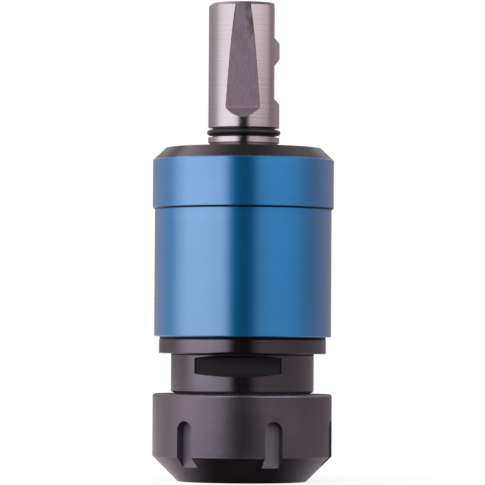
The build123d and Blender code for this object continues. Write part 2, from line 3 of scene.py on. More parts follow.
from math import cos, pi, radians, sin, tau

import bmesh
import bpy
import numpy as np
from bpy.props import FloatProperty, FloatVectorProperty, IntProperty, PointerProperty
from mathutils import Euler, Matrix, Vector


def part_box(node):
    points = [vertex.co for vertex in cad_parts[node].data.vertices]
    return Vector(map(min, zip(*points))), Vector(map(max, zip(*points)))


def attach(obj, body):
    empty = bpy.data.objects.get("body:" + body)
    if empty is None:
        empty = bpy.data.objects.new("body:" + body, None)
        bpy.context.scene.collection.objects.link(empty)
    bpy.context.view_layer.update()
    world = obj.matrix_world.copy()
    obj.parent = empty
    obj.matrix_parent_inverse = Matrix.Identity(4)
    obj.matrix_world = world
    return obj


bl_info = {
    "name": "Tapping Head Finishes",
    "version": (1, 0, 0),
    "blender": (4, 5, 0),
    "location": "3D View > Sidebar > Tapping Head",
    "description": "Finishes, screw threads and a small studio for a floating tapping head",
    "category": "Object",
}

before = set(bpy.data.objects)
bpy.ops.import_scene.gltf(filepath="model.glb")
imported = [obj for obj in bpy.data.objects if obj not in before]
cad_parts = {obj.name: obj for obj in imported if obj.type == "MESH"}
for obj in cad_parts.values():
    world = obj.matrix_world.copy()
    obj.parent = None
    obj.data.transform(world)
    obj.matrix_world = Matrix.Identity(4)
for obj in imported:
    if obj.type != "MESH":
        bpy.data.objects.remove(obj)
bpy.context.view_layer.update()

MM = 0.001


def top_of(node):
    """Height of a node's highest point, in millimetres."""
    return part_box(node)[1].z / MM


def bottom_of(node):
    """Height of a node's lowest point, in millimetres."""
    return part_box(node)[0].z / MM


def radius_of(node):
    """Outer radius of a turned node, in millimetres."""
    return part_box(node)[1].y / MM


# Sizes and colours that a user would change

class ThreadSizes(bpy.types.PropertyGroup):
    pitch: FloatProperty(
        name="Pitch", description="Travel of the nut in one turn", default=1.5 * MM,
        unit="LENGTH", precision=5,
    )
    nominal_radius: FloatProperty(
        name="Nominal radius", description="Half the thread's nominal diameter", default=25.0 * MM,
        unit="LENGTH", precision=5,
    )
    spindle_end: FloatProperty(
        name="Spindle thread end", description="Height where the spindle's thread runs into its relief",
        default=28.1 * MM, unit="LENGTH", precision=5,
    )
    spindle_start: FloatProperty(
        name="Spindle thread start", description="Height of the spindle's nose", default=15.1 * MM,
        unit="LENGTH", precision=5,
    )
    crest_gap: FloatProperty(
        name="Crest gap", description="How far the spindle's crests stay inside the nominal radius",
        default=0.05 * MM, unit="LENGTH", precision=6,
    )
    steps: IntProperty(name="Steps", description="Steps in one turn of a thread", default=96, min=12)


class FinishColours(bpy.types.PropertyGroup):
    anodised: FloatVectorProperty(
        name="Anodised blue", description="Blue of the housing", subtype="COLOR",
        default=(0.010, 0.238, 0.56),
    )
    oxide: FloatVectorProperty(
        name="Black oxide", description="Colour of the blackened steel", subtype="COLOR",
        default=(0.0065, 0.0045, 0.0055),
    )
    steel: FloatVectorProperty(
        name="Ground steel", description="Colour of the ground shank", subtype="COLOR",
        default=(0.525, 0.472, 0.485),
    )
    notch: FloatVectorProperty(
        name="Milled steel", description="Colour of the notch", subtype="COLOR",
        default=(0.480, 0.375, 0.440),
    )
    flats: FloatVectorProperty(
        name="Milled flats", description="Colour of the shank's side flats", subtype="COLOR",
        default=(0.50, 0.465, 0.48),
    )
    rubber: FloatVectorProperty(
        name="Rubber", description="Colour of the seals", subtype="COLOR", default=(0.020, 0.018, 0.019)
    )
    bronze: FloatVectorProperty(
        name="Bronze", description="Colour of bush and cage", subtype="COLOR", default=(0.58, 0.36, 0.15)
    )


class StudioSettings(bpy.types.PropertyGroup):
    camera_distance: FloatProperty(
        name="Camera distance", description="From the axis to the camera", default=1.2576, unit="LENGTH"
    )
    camera_height: FloatProperty(
        name="Camera height", description="Above the floor", default=0.0481, unit="LENGTH", precision=4
    )
    camera_side: FloatProperty(
        name="Camera side", description="How far the camera stands round to the right of the notch",
        default=radians(2.2), subtype="ANGLE",
    )
    camera_pitch: FloatProperty(
        name="Camera pitch", description="How far the camera looks up", default=radians(1.63),
        subtype="ANGLE",
    )
    camera_roll: FloatProperty(
        name="Camera roll", description="How far the picture leans to the right", default=radians(0.34),
        subtype="ANGLE",
    )
    camera_yaw: FloatProperty(
        name="Camera yaw", description="How far the camera looks to the left of the axis",
        default=radians(0.0096), subtype="ANGLE",
    )
    lens: FloatProperty(name="Lens", description="Focal length in millimetres", default=265.3)
    left_light: FloatProperty(name="Left light", description="Radiance of the left wall", default=1.6)
    right_light: FloatProperty(name="Right light", description="Radiance of the right wall", default=0.64)
    room_light: FloatProperty(name="Room light", description="Radiance of the back wall", default=0.50)
    fill_light: FloatProperty(
        name="Fill light", description="Light from all round on matt surfaces", default=0.35
    )
    floor_glow: FloatProperty(
        name="Floor glow", description="What the camera sees of the floor in shadow", default=0.80
    )
    floor_colour: FloatVectorProperty(
        name="Floor", description="Colour of the floor", subtype="COLOR", default=(0.34, 0.34, 0.34)
    )


# Finishes

class Finish:
    """One finish: a material with a single Principled shader, and short calls that add nodes to it.

    Places are Object coordinates in millimetres. A ring pattern depends only on the distance from the
    axis and the height, as the marks of a lathe or a grinding wheel do.
    """

    def __init__(self, name, **sockets):
        self.material = bpy.data.materials.new(name)
        self.material.use_nodes = True
        self.tree = self.material.node_tree
        self.shader = self.tree.nodes["Principled BSDF"]
        place = self.node("ShaderNodeTexCoord").outputs["Object"]
        in_mm = self.node("ShaderNodeVectorMath", {0: place, "Scale": 1 / MM}, operation="SCALE")
        self.place = in_mm.outputs[0]
        parts = self.node("ShaderNodeSeparateXYZ", {0: self.place})
        self.x, self.y, self.z = parts.outputs
        flat = self.node("ShaderNodeCombineXYZ", {0: self.x, 1: self.y})
        length = self.node("ShaderNodeVectorMath", {0: flat.outputs[0]}, operation="LENGTH")
        self.radius = length.outputs["Value"]
        self.ring = self.node("ShaderNodeCombineXYZ", {0: self.radius, 2: self.z}).outputs[0]
        for socket, value in sockets.items():
            self.set(socket.replace("_", " "), value)

    def node(self, kind, inputs=None, **settings):
        """A node of this kind, with values or links on the named or numbered inputs."""
        made = self.tree.nodes.new(kind)
        for name, value in settings.items():
            setattr(made, name, value)
        for key, value in (inputs or {}).items():
            self.put(made.inputs[key], value)
        return made

    def put(self, socket, value):
        """Links an output to a socket, or sets a plain value on it."""
        if isinstance(value, bpy.types.NodeSocket):
            self.tree.links.new(value, socket)
        elif socket.type == "RGBA" and len(value) == 3:
            socket.default_value = (*value, 1.0)
        else:
            socket.default_value = value

    def set(self, socket, value):
        """Sets or links a socket of the shader."""
        self.put(self.shader.inputs[socket], value)

    def maths(self, operation, a, b=0.0):
        """One sum, difference or the like of two values."""
        return self.node("ShaderNodeMath", {0: a, 1: b}, operation=operation).outputs[0]

    def times(self, first, *others):
        """The product of values. For shares from 0 to 1 it is 1 only where all of them are."""
        product = first
        for other in others:
            product = self.maths("MULTIPLY", product, other)
        return product

    def noise(self, vector, per_mm, detail=2.0, stretch=(1.0, 1.0, 1.0)):
        """Smooth noise from 0 to 1, with about this many lumps in a millimetre."""
        scaled = self.node("ShaderNodeVectorMath", {0: vector, 1: stretch}, operation="MULTIPLY")
        inputs = {"Vector": scaled.outputs[0], "Scale": per_mm, "Detail": detail}
        return self.node("ShaderNodeTexNoise", inputs).outputs[0]

    def between(self, value, low, high, to_low=0.0, to_high=1.0, curve="SMOOTHSTEP"):
        """Carries a value from one range to another, and holds it at the ends."""
        inputs = {0: value, 1: low, 2: high, 3: to_low, 4: to_high}
        return self.node("ShaderNodeMapRange", inputs, interpolation_type=curve).outputs[0]

    def spread(self, noise, low, high):
        """Carries the middle of a noise's range to these two values, and holds it at the ends."""
        return self.between(noise, 0.3, 0.7, low, high, "LINEAR")

    def beyond(self, value, edge, fade):
        """A share that is 0 up to the edge, and 1 from a fade past it."""
        return self.between(value, edge, edge + fade)

    def within(self, value, edge, fade):
        """A share that is 1 up to the edge, and 0 from a fade past it."""
        return self.between(value, edge, edge + fade, 1.0, 0.0)

    def mix(self, share, first, second):
        """A colour that goes from first to second as share goes from 0 to 1."""
        made = self.node("ShaderNodeMix", {0: share, 6: first, 7: second}, data_type="RGBA")
        return made.outputs[2]

    def blend_value(self, share, first, second):
        """A value that goes from first to second as share goes from 0 to 1."""
        made = self.node("ShaderNodeMix", {0: share, 2: first, 3: second}, data_type="FLOAT")
        return made.outputs[0]

    def shade(self, colour, value):
        """A colour made lighter or darker by a factor."""
        made = self.node("ShaderNodeVectorMath", {0: colour, "Scale": value}, operation="SCALE")
        return made.outputs[0]

    def bump(self, *layers):
        """Raises the surface by each (height, depth in mm) in turn."""
        normal = None
        for height, depth in layers:
            made = self.node("ShaderNodeBump", {"Height": height, "Distance": depth * MM})
            if normal is not None:
                self.put(made.inputs["Normal"], normal)
            normal = made.outputs[0]
        self.set("Normal", normal)

    def cross(self, a, b):
        """A direction that is square to both a and b."""
        return self.node("ShaderNodeVectorMath", {0: a, 1: b}, operation="CROSS_PRODUCT").outputs[0]

    def turned_sheen(self, amount):
        """Stretches highlights across the lathe marks: the tangent is square to the marks and the surface."""
        marks = self.node(
            "ShaderNodeVectorTransform", {0: self.cross((0.0, 0.0, 1.0), self.place)},
            vector_type="VECTOR", convert_from="OBJECT", convert_to="WORLD",
        )
        normal = self.node("ShaderNodeNewGeometry").outputs["Normal"]
        self.set("Tangent", self.cross(normal, marks.outputs[0]))
        self.set("Anisotropic", amount)

    def near_ring(self, radius, height, width):
        """1 on a ring edge at this radius and height in mm, and 0 from the width on."""
        edge = (radius, 0.0, height)
        away = self.node("ShaderNodeVectorMath", {0: self.ring, 1: edge}, operation="DISTANCE")
        return self.within(away.outputs["Value"], 0.0, width)

    def angle_from(self, side):
        """Angle round the axis from this side, in radians, and positive to the right seen from there."""
        angle = self.maths("ARCTAN2", self.x, self.maths("MULTIPLY", self.y, -1.0))
        return self.maths("SUBTRACT", angle, side)


def finish_nodes(finish, *names):
    """Gives the CAD nodes of these names the finish, in every material slot."""
    for name in names:
        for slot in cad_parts[name].material_slots:
            slot.material = finish.material


def anodised_finish(colour):
    """Dyed and sealed aluminium over fine lathe marks, with paler edges, partly rubbed and partly a painted
    highlight, and a painted shadow at the joint.
    """
    finish = Finish("blue_anodised_aluminium", Metallic=0.80, Coat_Roughness=0.09, Coat_IOR=1.94)
    fine = finish.noise(finish.ring, 5.0, 3.0)
    broad = finish.noise(finish.ring, 0.45, 2.0)
    cloud = finish.noise(finish.place, 0.06, 3.0)
    level = finish.between(finish.maths("ADD", broad, cloud), 0.6, 1.4, 0.93, 1.07, "LINEAR")
    blue = finish.shade(colour, level)
    # The sleeve's lower edge and the collar ring's upper one are paler, partly rubbed and partly a painted
    # highlight, this far inside both faces
    sleeve_inset, collar_inset = 0.25, 0.2
    sleeve_edge = finish.near_ring(
        radius_of("housing_sleeve") - sleeve_inset, bottom_of("housing_sleeve") + sleeve_inset, 0.45
    )
    collar_edge = finish.near_ring(
        radius_of("collar_ring") - collar_inset, top_of("collar_ring") - collar_inset, 0.4
    )
    rubbed = finish.beyond(finish.noise(finish.place, 1.2, 4.0), 0.45, 0.30)
    worn_and_highlit = finish.times(finish.maths("MAXIMUM", sleeve_edge, collar_edge), rubbed)
    highlit_worn_blue = finish.mix(finish.times(worn_and_highlit, 0.5), blue, (0.45, 0.55, 0.68))
    # Painted shade: the joint between ring and sleeve is painted dark and loses its coat, as a shadow line
    off = finish.maths("ABSOLUTE", finish.maths("SUBTRACT", finish.z, bottom_of("collar_ring")))
    joint_shade = finish.within(off, 0.2, 0.3)
    finish.set("Base Color", finish.mix(joint_shade, highlit_worn_blue, (0.002, 0.02, 0.06)))
    finish.set("Coat Weight", finish.maths("SUBTRACT", 1.0, joint_shade))
    finish.set("Roughness", finish.spread(fine, 0.41, 0.48))
    finish.bump((fine, 0.003), (broad, 0.008))
    finish.turned_sheen(0.9)
    return finish


def oxide_layers(finish, colour, grain):
    """Blackened steel's clouds, its grain of this many lumps in a mm, and its colour.

    The colour is browner in the clouds, and lighter and darker with the grain.
    """
    cloud = finish.noise(finish.place, 0.12, 4.0)
    speck = finish.noise(finish.place, grain, 3.0)
    browner = [c * f for c, f in zip(colour, (1.7, 1.35, 1.3))]
    clouded = finish.mix(finish.beyond(cloud, 0.45, 0.30), colour, browner)
    return cloud, speck, finish.shade(clouded, finish.spread(speck, 0.75, 1.3))


def nut_finish(colour):
    """Blackened steel of the clamping nut: an even grain, with thin paler edges, partly worn and partly a
    painted highlight, and slot floors painted paler as painted light.
    """
    finish = Finish("black_oxide_nut", IOR=2.30, Specular_Tint=(0.98, 0.865, 1.01, 1.0))
    cloud, speck, shaded = oxide_layers(finish, colour, 2.2)
    radius, top = radius_of("clamping_nut"), top_of("clamping_nut")
    bevel_top, slot_top, slot_depth = 8.9, 21.7, 3.3
    # The bevel's edge and the back edge are paler: partly worn, partly a painted highlight
    bevel_edge = finish.near_ring(radius, bevel_top, 0.5)
    back_edge = finish.near_ring(radius - 0.3, top - 0.3, 0.9)
    rubbed = finish.beyond(finish.noise(finish.place, 0.8, 4.0), 0.4, 0.35)
    worn_and_highlit = finish.times(finish.maths("MAXIMUM", bevel_edge, back_edge), rubbed)
    highlit_worn_oxide = finish.mix(finish.times(worn_and_highlit, 0.35), shaded, (0.20, 0.18, 0.19))
    # The spanner slots are milled, which leaves them rougher than the turned outside; their floors are
    # painted paler, as painted light falling into them
    outside = finish.maths("MINIMUM", radius, finish.maths("ADD", finish.z, radius - bevel_top))
    depth = finish.maths("SUBTRACT", outside, finish.radius)
    milled = finish.times(finish.beyond(depth, 0.2, 0.1), finish.within(finish.z, slot_top, 0.2))
    floors = finish.times(milled, finish.within(finish.radius, radius - slot_depth, 0.3))
    pale = finish.shade((0.10, 0.088, 0.105), finish.between(speck, 0.3, 0.7, 0.8, 1.2))
    finish.set("Base Color", finish.mix(floors, highlit_worn_oxide, pale))
    finish.set("Roughness", finish.blend_value(milled, finish.spread(cloud, 0.27, 0.33), 0.55))
    finish.bump((speck, 0.012), (finish.noise(finish.place, 0.5, 2.0), 0.03))
    return finish


def spindle_finish(colour):
    """Blackened steel over lathe marks, for the spindle and its screws."""
    finish = Finish("black_oxide_spindle", IOR=2.12, Specular_Tint=(0.96, 0.89, 1.0, 1.0))
    _, speck, shaded = oxide_layers(finish, colour, 3.0)
    marks = finish.noise(finish.ring, 4.0, 3.0)
    turned = finish.spread(marks, 0.11, 0.18)
    flange_length, thread_end, relief_end, neck_start = 5.1, 28.0, 31.2, 32.0
    flange = bottom_of("dust_ring") - flange_length
    # The neck's flats for a spanner are milled, and so rougher: they lie inside its turned radius
    inside_neck, outside_corner = 24.6, 25.3
    neck = finish.times(finish.beyond(finish.z, neck_start, 0.1), finish.within(finish.z, flange - 0.7, 0.1))
    milled = finish.times(neck, finish.within(finish.radius, inside_neck, 0.1))
    # Painted shade: the thread's relief under the neck and the corner under the flange are painted black, as
    # if in shadow, and made fully rough
    relief = finish.times(finish.beyond(finish.z, thread_end, 0.2), finish.within(finish.z, relief_end, 0.5))
    under_flange = finish.beyond(finish.z, flange - 0.8, 0.45)
    corner = finish.times(under_flange, finish.within(finish.radius, outside_corner, 0.3))
    painted_shade = finish.maths("MAXIMUM", relief, corner)
    finish.set("Base Color", finish.mix(painted_shade, shaded, (0.002, 0.001, 0.0015)))
    finish.set("Roughness", finish.blend_value(painted_shade, finish.blend_value(milled, turned, 0.25), 1.0))
    finish.bump((marks, 0.004), (speck, 0.003))
    finish.turned_sheen(0.5)
    return finish


def shank_finish(colours):
    """The shank body: ground steel above the black head, and milled metal in the notch and on the flats."""
    finish = Finish("ground_shank_and_black_head", IOR=2.1, Specular_Tint=(1.0, 0.90, 0.97, 1.0))
    shank_radius, head_height, groove_height, heel_height = 12.5, 5.83, 5.3, 11.7
    ground_from = top_of("collar_ring") + head_height
    ground = finish.maths("GREATER_THAN", finish.z, ground_from)
    cut = finish.maths("LESS_THAN", finish.radius, shank_radius - 0.05)
    # Ground steel, with thin rings of slightly different shade
    rings = finish.noise(finish.ring, 1.6, 4.0)
    fine = finish.noise(finish.ring, 7.0, 2.0)
    lit = finish.shade(colours.steel, finish.spread(rings, 0.94, 1.05))
    # Milled metal, with brown stains in the notch towards the shank's end, most of them on the right
    in_notch = finish.within(finish.y, -8.0, 1.0)
    patch = finish.noise(finish.place, 0.28, 5.0, (1.0, 1.0, 0.6))
    upper = finish.beyond(finish.z, top_of("shank_body") - 20.0, 14.0)
    beside = finish.between(finish.x, -2.5, 2.5, 0.25, 1.0)
    stain = finish.times(finish.beyond(patch, 0.36, 0.22), finish.times(upper, beside, in_notch))
    wiped = finish.noise(finish.place, 1.5, 3.0, (1.0, 1.0, 0.35))
    milled = finish.shade(finish.mix(in_notch, colours.flats, colours.notch), finish.spread(wiped, 0.88, 1.1))
    stained = finish.mix(finish.times(stain, 0.75), milled, (0.13, 0.095, 0.075))
    # The notch's sloping heel mirrors more light, and is darker by as much
    heel = finish.between(finish.z, ground_from + heel_height, ground_from + heel_height + 0.4, 0.52, 1.0)
    bright = finish.mix(cut, lit, finish.shade(stained, heel))
    # The seal groove's floor stays as turned and is painted dark: partly its own unground finish, partly
    # painted shade in the recess
    groove = finish.maths("LESS_THAN", finish.z, ground_from + groove_height)
    floor = finish.times(groove, finish.maths("LESS_THAN", finish.radius, shank_radius - 0.15))
    _, _, black = oxide_layers(finish, colours.oxide, 3.0)
    finish.set("Base Color", finish.mix(ground, black, finish.mix(floor, bright, (0.035, 0.030, 0.033))))
    finish.set("Metallic", finish.times(ground, finish.between(cut, 0.0, 1.0, 1.0, 0.78)))
    metal_rough = finish.blend_value(cut, finish.spread(rings, 0.17, 0.25), 0.4)
    finish.set("Roughness", finish.blend_value(ground, 0.29, metal_rough))
    finish.bump((fine, 0.003), (rings, 0.004))
    finish.turned_sheen(0.55)
    return finish


def rubber_finish(name, colour, shine):
    """Black seal rubber, with a skin that is dull or oily."""
    tint = (1.0, 0.86, 0.97, 1.0)
    finish = Finish(name, Roughness=0.32, Specular_IOR_Level=shine, Specular_Tint=tint)
    skin = finish.noise(finish.place, 3.0, 3.0)
    finish.set("Base Color", finish.shade(colour, finish.spread(skin, 0.7, 1.4)))
    finish.bump((skin, 0.01))
    return finish


def bright_metal_finish(name, colour, roughness, marks_per_mm=4.0, shade=0.12):
    """A plain machined metal with lathe marks, for the pieces inside."""
    finish = Finish(name, Metallic=1.0)
    marks = finish.noise(finish.ring, marks_per_mm, 3.0)
    cloud = finish.noise(finish.place, 0.3, 3.0)
    level = finish.between(finish.maths("ADD", marks, cloud), 0.6, 1.4, 1.0 - shade, 1.0 + shade, "LINEAR")
    finish.set("Base Color", finish.shade(colour, level))
    finish.set("Roughness", finish.spread(marks, roughness - 0.05, roughness + 0.05))
    finish.bump((marks, 0.003))
    return finish


# New pieces

def mesh_from_grid(name, points):
    """A mesh from a grid of points, rows by columns. Each cell is a quad, and the columns close up."""
    rows, columns = points.shape[:2]
    row, column = np.meshgrid(np.arange(rows - 1), np.arange(columns), indexing="ij")
    after = (column + 1) % columns
    here, above = row * columns, (row + 1) * columns
    quads = np.stack([here + column, here + after, above + after, above + column], axis=-1)
    mesh = bpy.data.meshes.new(name)
    mesh.from_pydata(points.reshape(-1, 3), [], quads.reshape(-1, 4))
    mesh.validate()
    return mesh


def turned_surface(name, distance, height, steps=96):
    """A surface of revolution: each distance from the axis and its height, turned once round the axis."""
    angle = np.linspace(0, tau, steps, endpoint=False)
    x, y = np.outer(distance, np.cos(angle)), np.outer(distance, np.sin(angle))
    z = np.outer(height, np.ones_like(angle))
    return mesh_from_grid(name, np.stack([x, y, z], axis=-1))


def close_ends(mesh, ends):
    """Adds one face for each loop of vertices, and points all faces outwards."""
    work = bmesh.new()
    work.from_mesh(mesh)
    work.verts.ensure_lookup_table()
    for loop in ends:
        work.faces.new([work.verts[k] for k in loop])
    bmesh.ops.recalc_face_normals(work, faces=work.faces)
    work.to_mesh(mesh)
    work.free()
    return mesh


def thread_ridge(name, root, crest, root_width, crest_width, start, end, sizes, phase=0.0):
    """A right-hand screw thread's ridge, as a profile carried along a helix.

    At angle a the profile's height along the axis is start + pitch * a / full turn, plus its own offset,
    and its distance from the axis goes from root to crest. The ridge fades into the root over the first
    and last quarter turn. The profile has six points: two sunk under the root, two at the root and two at
    the crest.
    """
    turns = (end - start - root_width) / sizes.pitch
    count = int(turns * sizes.steps)
    share = np.linspace(0.0, 1.0, count + 1)[:, None]
    angle = tau * (share * turns + phase)
    middle = start + root_width / 2 + sizes.pitch * share * turns
    fade_turns, thinnest, sink = 0.25, 0.3, 0.1 * MM
    rise = np.clip(np.minimum(share, 1 - share) * turns / fade_turns, 0.0, 1.0)
    half = np.array([root_width, root_width, crest_width]) / 2
    offset = np.concatenate([-half, half[::-1]])
    up = np.array([0, 0, 1, 1, 0, 0]) * (crest - root)
    sunk = np.array([1, 0, 0, 0, 0, 1]) * sink * np.sign(root - crest)
    distance = root + sunk + up * rise
    height = middle + offset * (thinnest + (1 - thinnest) * rise)
    points = np.stack([distance * np.cos(angle), distance * np.sin(angle), height], axis=-1)
    across = len(offset)
    ends = [list(range(across))[::-1], [count * across + k for k in range(across)]]
    return close_ends(mesh_from_grid(name, points), ends)


def add_object(name, data):
    """Puts a mesh, lamp or camera in the scene as a new object."""
    made = bpy.data.objects.new(name, data)
    bpy.context.scene.collection.objects.link(made)
    return made


def add_piece(name, mesh, finish, body):
    """Puts a mesh in the scene as a piece that rides on a body, with its finish in a material slot."""
    piece = add_object(name, mesh)
    piece.data.materials.append(finish.material)
    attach(piece, body)
    return piece


# Operators

class SpindleThread(bpy.types.Operator):
    """Cut the screw thread on the spindle's nose"""

    bl_idname = "tapping_head.spindle_thread"
    bl_label = "Spindle Thread"

    def execute(self, context):
        sizes = context.scene.tapping_head_thread
        colours = context.scene.tapping_head_colours
        # An outside thread's depth and its widths at root and crest, as shares of the pitch
        depth, root_width, crest_width = 0.6134, 0.72, 0.125
        lead_in = 0.5 * MM
        mesh = thread_ridge(
            "spindle_thread", sizes.nominal_radius - depth * sizes.pitch,
            sizes.nominal_radius - sizes.crest_gap, root_width * sizes.pitch, crest_width * sizes.pitch,
            sizes.spindle_start + lead_in, sizes.spindle_end, sizes,
        )
        add_piece("spindle_thread", mesh, spindle_finish(colours.oxide), "spindle")
        return {"FINISHED"}


class NutThread(bpy.types.Operator):
    """Cut the screw thread in the clamping nut"""

    bl_idname = "tapping_head.nut_thread"
    bl_label = "Nut Thread"

    def execute(self, context):
        sizes = context.scene.tapping_head_thread
        colours = context.scene.tapping_head_colours
        # An inside thread's depth and its widths at root and crest, as shares of the pitch
        depth, root_width, crest_width = 0.5413, 0.85, 0.25
        root_gap, lead_in, lead_out = 0.05 * MM, 0.5 * MM, 0.3 * MM
        mesh = thread_ridge(
            "nut_thread", sizes.nominal_radius + root_gap, sizes.nominal_radius - depth * sizes.pitch,
            root_width * sizes.pitch, crest_width * sizes.pitch, sizes.spindle_start + lead_in,
            top_of("clamping_nut") * MM - lead_out, sizes, phase=0.5,
        )
        add_piece("nut_thread", mesh, nut_finish(colours.oxide), "nut")
        return {"FINISHED"}


class HousingFinish(bpy.types.Operator):
    """Anodise the sleeve and the collar ring"""

    bl_idname = "tapping_head.housing_finish"
    bl_label = "Housing Finish"

    def execute(self, context):
        colours = context.scene.tapping_head_colours
        finish_nodes(anodised_finish(colours.anodised), "housing_sleeve", "collar_ring")
        return {"FINISHED"}


class ShankFinish(bpy.types.Operator):
    """Grind the shank and blacken the head under it"""

    bl_idname = "tapping_head.shank_finish"
    bl_label = "Shank Finish"

    def execute(self, context):
        finish_nodes(shank_finish(context.scene.tapping_head_colours), "shank_body")
        return {"FINISHED"}


class OxideFinish(bpy.types.Operator):
    """Blacken the spindle, the screws and the clamping nut"""

    bl_idname = "tapping_head.oxide_finish"
    bl_label = "Black Oxide Finish"

    def execute(self, context):
        colours = context.scene.tapping_head_colours
        finish_nodes(spindle_finish(colours.oxide), "collet_spindle", "spring_screws")
        finish_nodes(nut_finish(colours.oxide), "clamping_nut")
        return {"FINISHED"}


class SealFinish(bpy.types.Operator):
    """Give the ring seals an oily skin, and the dust ring and the wiper a dull one that is painted darker as
    shade
    """

    bl_idname = "tapping_head.seal_finish"
    bl_label = "Seal Finish"

    def execute(self, context):
        colours = context.scene.tapping_head_colours
        oiled = rubber_finish("oiled_seal_rubber", colours.rubber, 0.40)
        finish_nodes(oiled, "shank_seal", "tube_seal", "disc_inner_seal", "disc_outer_seal")
        # Painted shade: the dust ring and the wiper are painted four times darker than the seals, for the
        # shade in the recess under the sleeve
        dull = rubber_finish("dull_wiper_rubber", [c * 0.25 for c in colours.rubber], 0.12)
        finish_nodes(dull, "dust_ring", "wiper_seal")
        return {"FINISHED"}


class InnerFinish(bpy.types.Operator):
    """Finish the collet, the disc and the drive inside"""

    bl_idname = "tapping_head.inner_finish"
    bl_label = "Inner Piece Finish"

    def execute(self, context):
        colours = context.scene.tapping_head_colours
        hardened = bright_metal_finish("hardened_ground_steel", (0.52, 0.50, 0.49), 0.24)
        finish_nodes(hardened, "collet", "thrust_ring")
        stainless = bright_metal_finish("turned_stainless_steel", (0.56, 0.55, 0.53), 0.30, 2.5)
        finish_nodes(stainless, "sealing_disc", "coolant_tube")
        spring = bright_metal_finish("tempered_spring_steel", (0.20, 0.19, 0.20), 0.34)
        finish_nodes(spring, "slotted_spring", "stop_ring", "retaining_wire")
        polished = bright_metal_finish("polished_ball_steel", (0.70, 0.69, 0.68), 0.10, 1.0, 0.04)
        finish_nodes(polished, "drive_balls")
        bronze = bright_metal_finish("bearing_bronze", colours.bronze, 0.32)
        finish_nodes(bronze, "guide_bush", "ball_cage")
        return {"FINISHED"}


# The studio

# Tints of the light tent's cloth
COOL, WARM, DIM = (0.98, 0.93, 1.02), (1.0, 0.83, 0.88), (1.0, 0.91, 0.95)


def round_the_axis(side, distance, height):
    """A point at this angle to the right of the notch, this far from the axis and this high."""
    return Vector((distance * sin(side), -distance * cos(side), height))


def add_softbox(name, side, distance, width, height, radiance, colour):
    """An area light that stands on the floor and faces the axis. Its power is radiance * pi * area."""
    lamp = bpy.data.lights.new(name, "AREA")
    lamp.shape = "RECTANGLE"
    lamp.size, lamp.size_y = width, height
    lamp.energy = radiance * pi * width * height
    lamp.color = colour
    box = add_object(name, lamp)
    box.location = round_the_axis(side, distance, height / 2)
    box.rotation_euler = Euler((radians(90), 0, side))
    box.visible_glossy = False


def tent_light(
    finish, side, left, right, room, edges=(-30, -10, 8, 24), rim=0.90, tints=(COOL, COOL, WARM)
):
    """The tent's glow at each angle round the axis, as a colour: a left and a right wall, dark between them.

    The edges are, in degrees, where the left wall begins to fade, where it is dark, and where the right
    wall begins and is full. The rim is the left wall's share where it begins to fade. The tints are the
    left wall's, its rim's and the right wall's. The room is the glow of the tent's back.
    """
    left_fades, left_dark, right_begins, right_full = edges
    cool, rim_tint, warm = tints
    stops = [
        (-180, room * 0.3, DIM), (-164, room * 0.9, DIM), (-140, room, DIM), (-112, room * 1.2, DIM),
        (-72, left * 0.95, cool), (-50, left, cool), (left_fades, left * rim, rim_tint),
        (left_dark, 0.0, cool), (right_begins, 0.0, warm), (right_full, right, warm),
        (45, right * 0.96, warm), (76, right * 0.78, warm), (98, room * 0.8, warm), (128, room, warm),
        (164, room * 0.9, DIM), (180, room * 0.3, DIM),
    ]
    turns = finish.maths("DIVIDE", finish.angle_from(side), tau)
    ramp = finish.node("ShaderNodeValToRGB", {0: finish.maths("FRACT", finish.maths("ADD", turns, 0.5))})
    ramp.color_ramp.interpolation = "EASE"
    elements = ramp.color_ramp.elements
    while len(elements) < len(stops):
        elements.new(0.5)
    for element, (degrees, level, tint) in zip(elements, stops):
        element.position = degrees / 360 + 0.5
        element.color = (*(level * t for t in tint), 1.0)
    return ramp.outputs[0]


def tent_cloth(name):
    """Cloth that only glows, and gives back no light."""
    return Finish(name, Base_Color=(0.0, 0.0, 0.0), Roughness=1.0, Specular_IOR_Level=0.0)


def add_tent_piece(name, mesh, cloth):
    """Adds a stage object of glowing cloth. Only reflections show it, and it throws no shadow."""
    piece = add_object(name, mesh)
    mesh.materials.append(cloth.material)
    piece.visible_camera = piece.visible_diffuse = piece.visible_shadow = False


